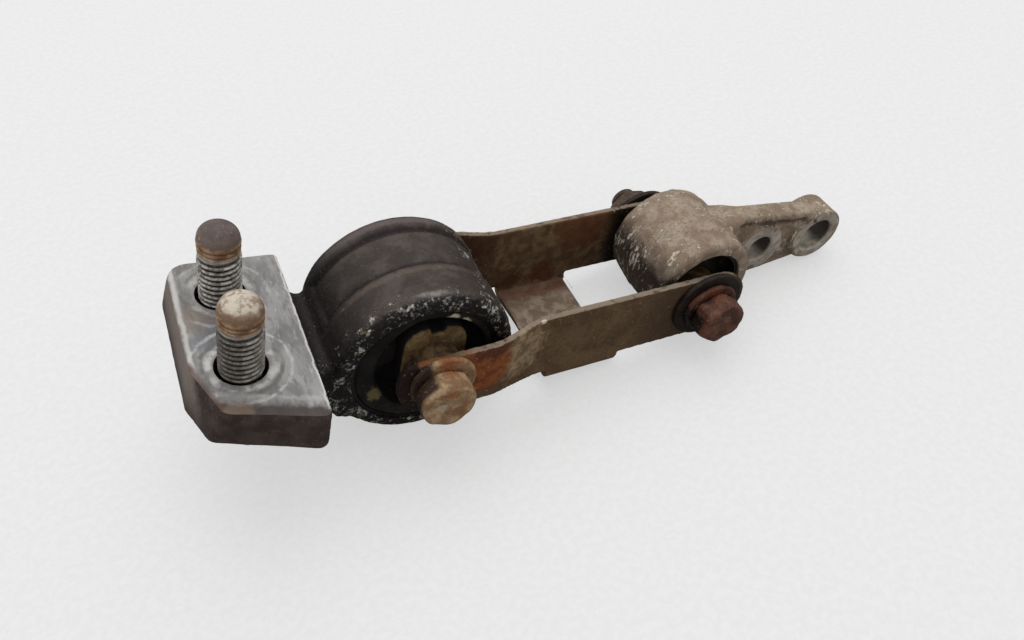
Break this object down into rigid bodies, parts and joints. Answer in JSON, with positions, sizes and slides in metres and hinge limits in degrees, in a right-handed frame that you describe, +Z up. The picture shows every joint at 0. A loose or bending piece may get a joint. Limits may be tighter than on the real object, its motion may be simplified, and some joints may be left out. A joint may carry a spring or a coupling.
{
  "type": "transmission mount",
  "caption": "Used transmission mount: a bolted flange with a large round rubber bush, a folded steel link and a cast arm with two holes on a small bush",
  "frame": {"origin": "centre of the underside of the whole part's bounding box, on the surface it lies on", "axes": "+X along the link from the flange to the arm, +Y along the bush and bolt axes towards the nuts, +Z up"},
  "size_m": [0.2332, 0.0742, 0.0749],
  "materials": {
    "cast_housing": "dirty casting with a machined top face",
    "cast_arm": "rough casting",
    "link_steel": "rusted",
    "bolt_steel": "rusted",
    "sleeve_steel": "rusted",
    "bush_core_metal": "dull",
    "rubber": "matte"
  },
  "bodies": {
    "housing": {"flange_housing": "cast_housing", "flange_bolt_front": "bolt_steel", "flange_bolt_rear": "bolt_steel", "flange_bolt_washer_front": "bolt_steel", "flange_bolt_washer_rear": "bolt_steel", "large_bush_sleeve": "sleeve_steel", "large_bush_rubber": "rubber", "large_bush_core": "bush_core_metal"},
    "link": {"link_frame": "link_steel", "large_bush_spacer": "sleeve_steel", "large_cross_bolt": "bolt_steel", "large_bolt_washer": "bolt_steel", "large_bolt_nut": "bolt_steel", "small_bush_spacer": "sleeve_steel", "small_cross_bolt": "bolt_steel", "small_bolt_washer_front": "bolt_steel", "small_bolt_washer_rear": "bolt_steel", "small_bolt_nut": "bolt_steel"},
    "arm": {"arm_bracket": "cast_arm", "small_bush_sleeve": "sleeve_steel", "small_bush_rubber": "rubber"}
  },
  "joints": [
    {"name": "large_bush_twist", "type": "hinge", "parent": "housing", "child": "link", "pos_m": [-0.04843, -0.00006, 0.03125], "axis": [0, 1, 0], "range_deg": [-8, 8], "stiffness_Nm_per_rad": 60},
    {"name": "small_bush_twist", "type": "hinge", "parent": "link", "child": "arm", "pos_m": [0.04702, -0.00006, 0.01684], "axis": [0, 1, 0], "range_deg": [-12, 12], "stiffness_Nm_per_rad": 30}
  ]
}
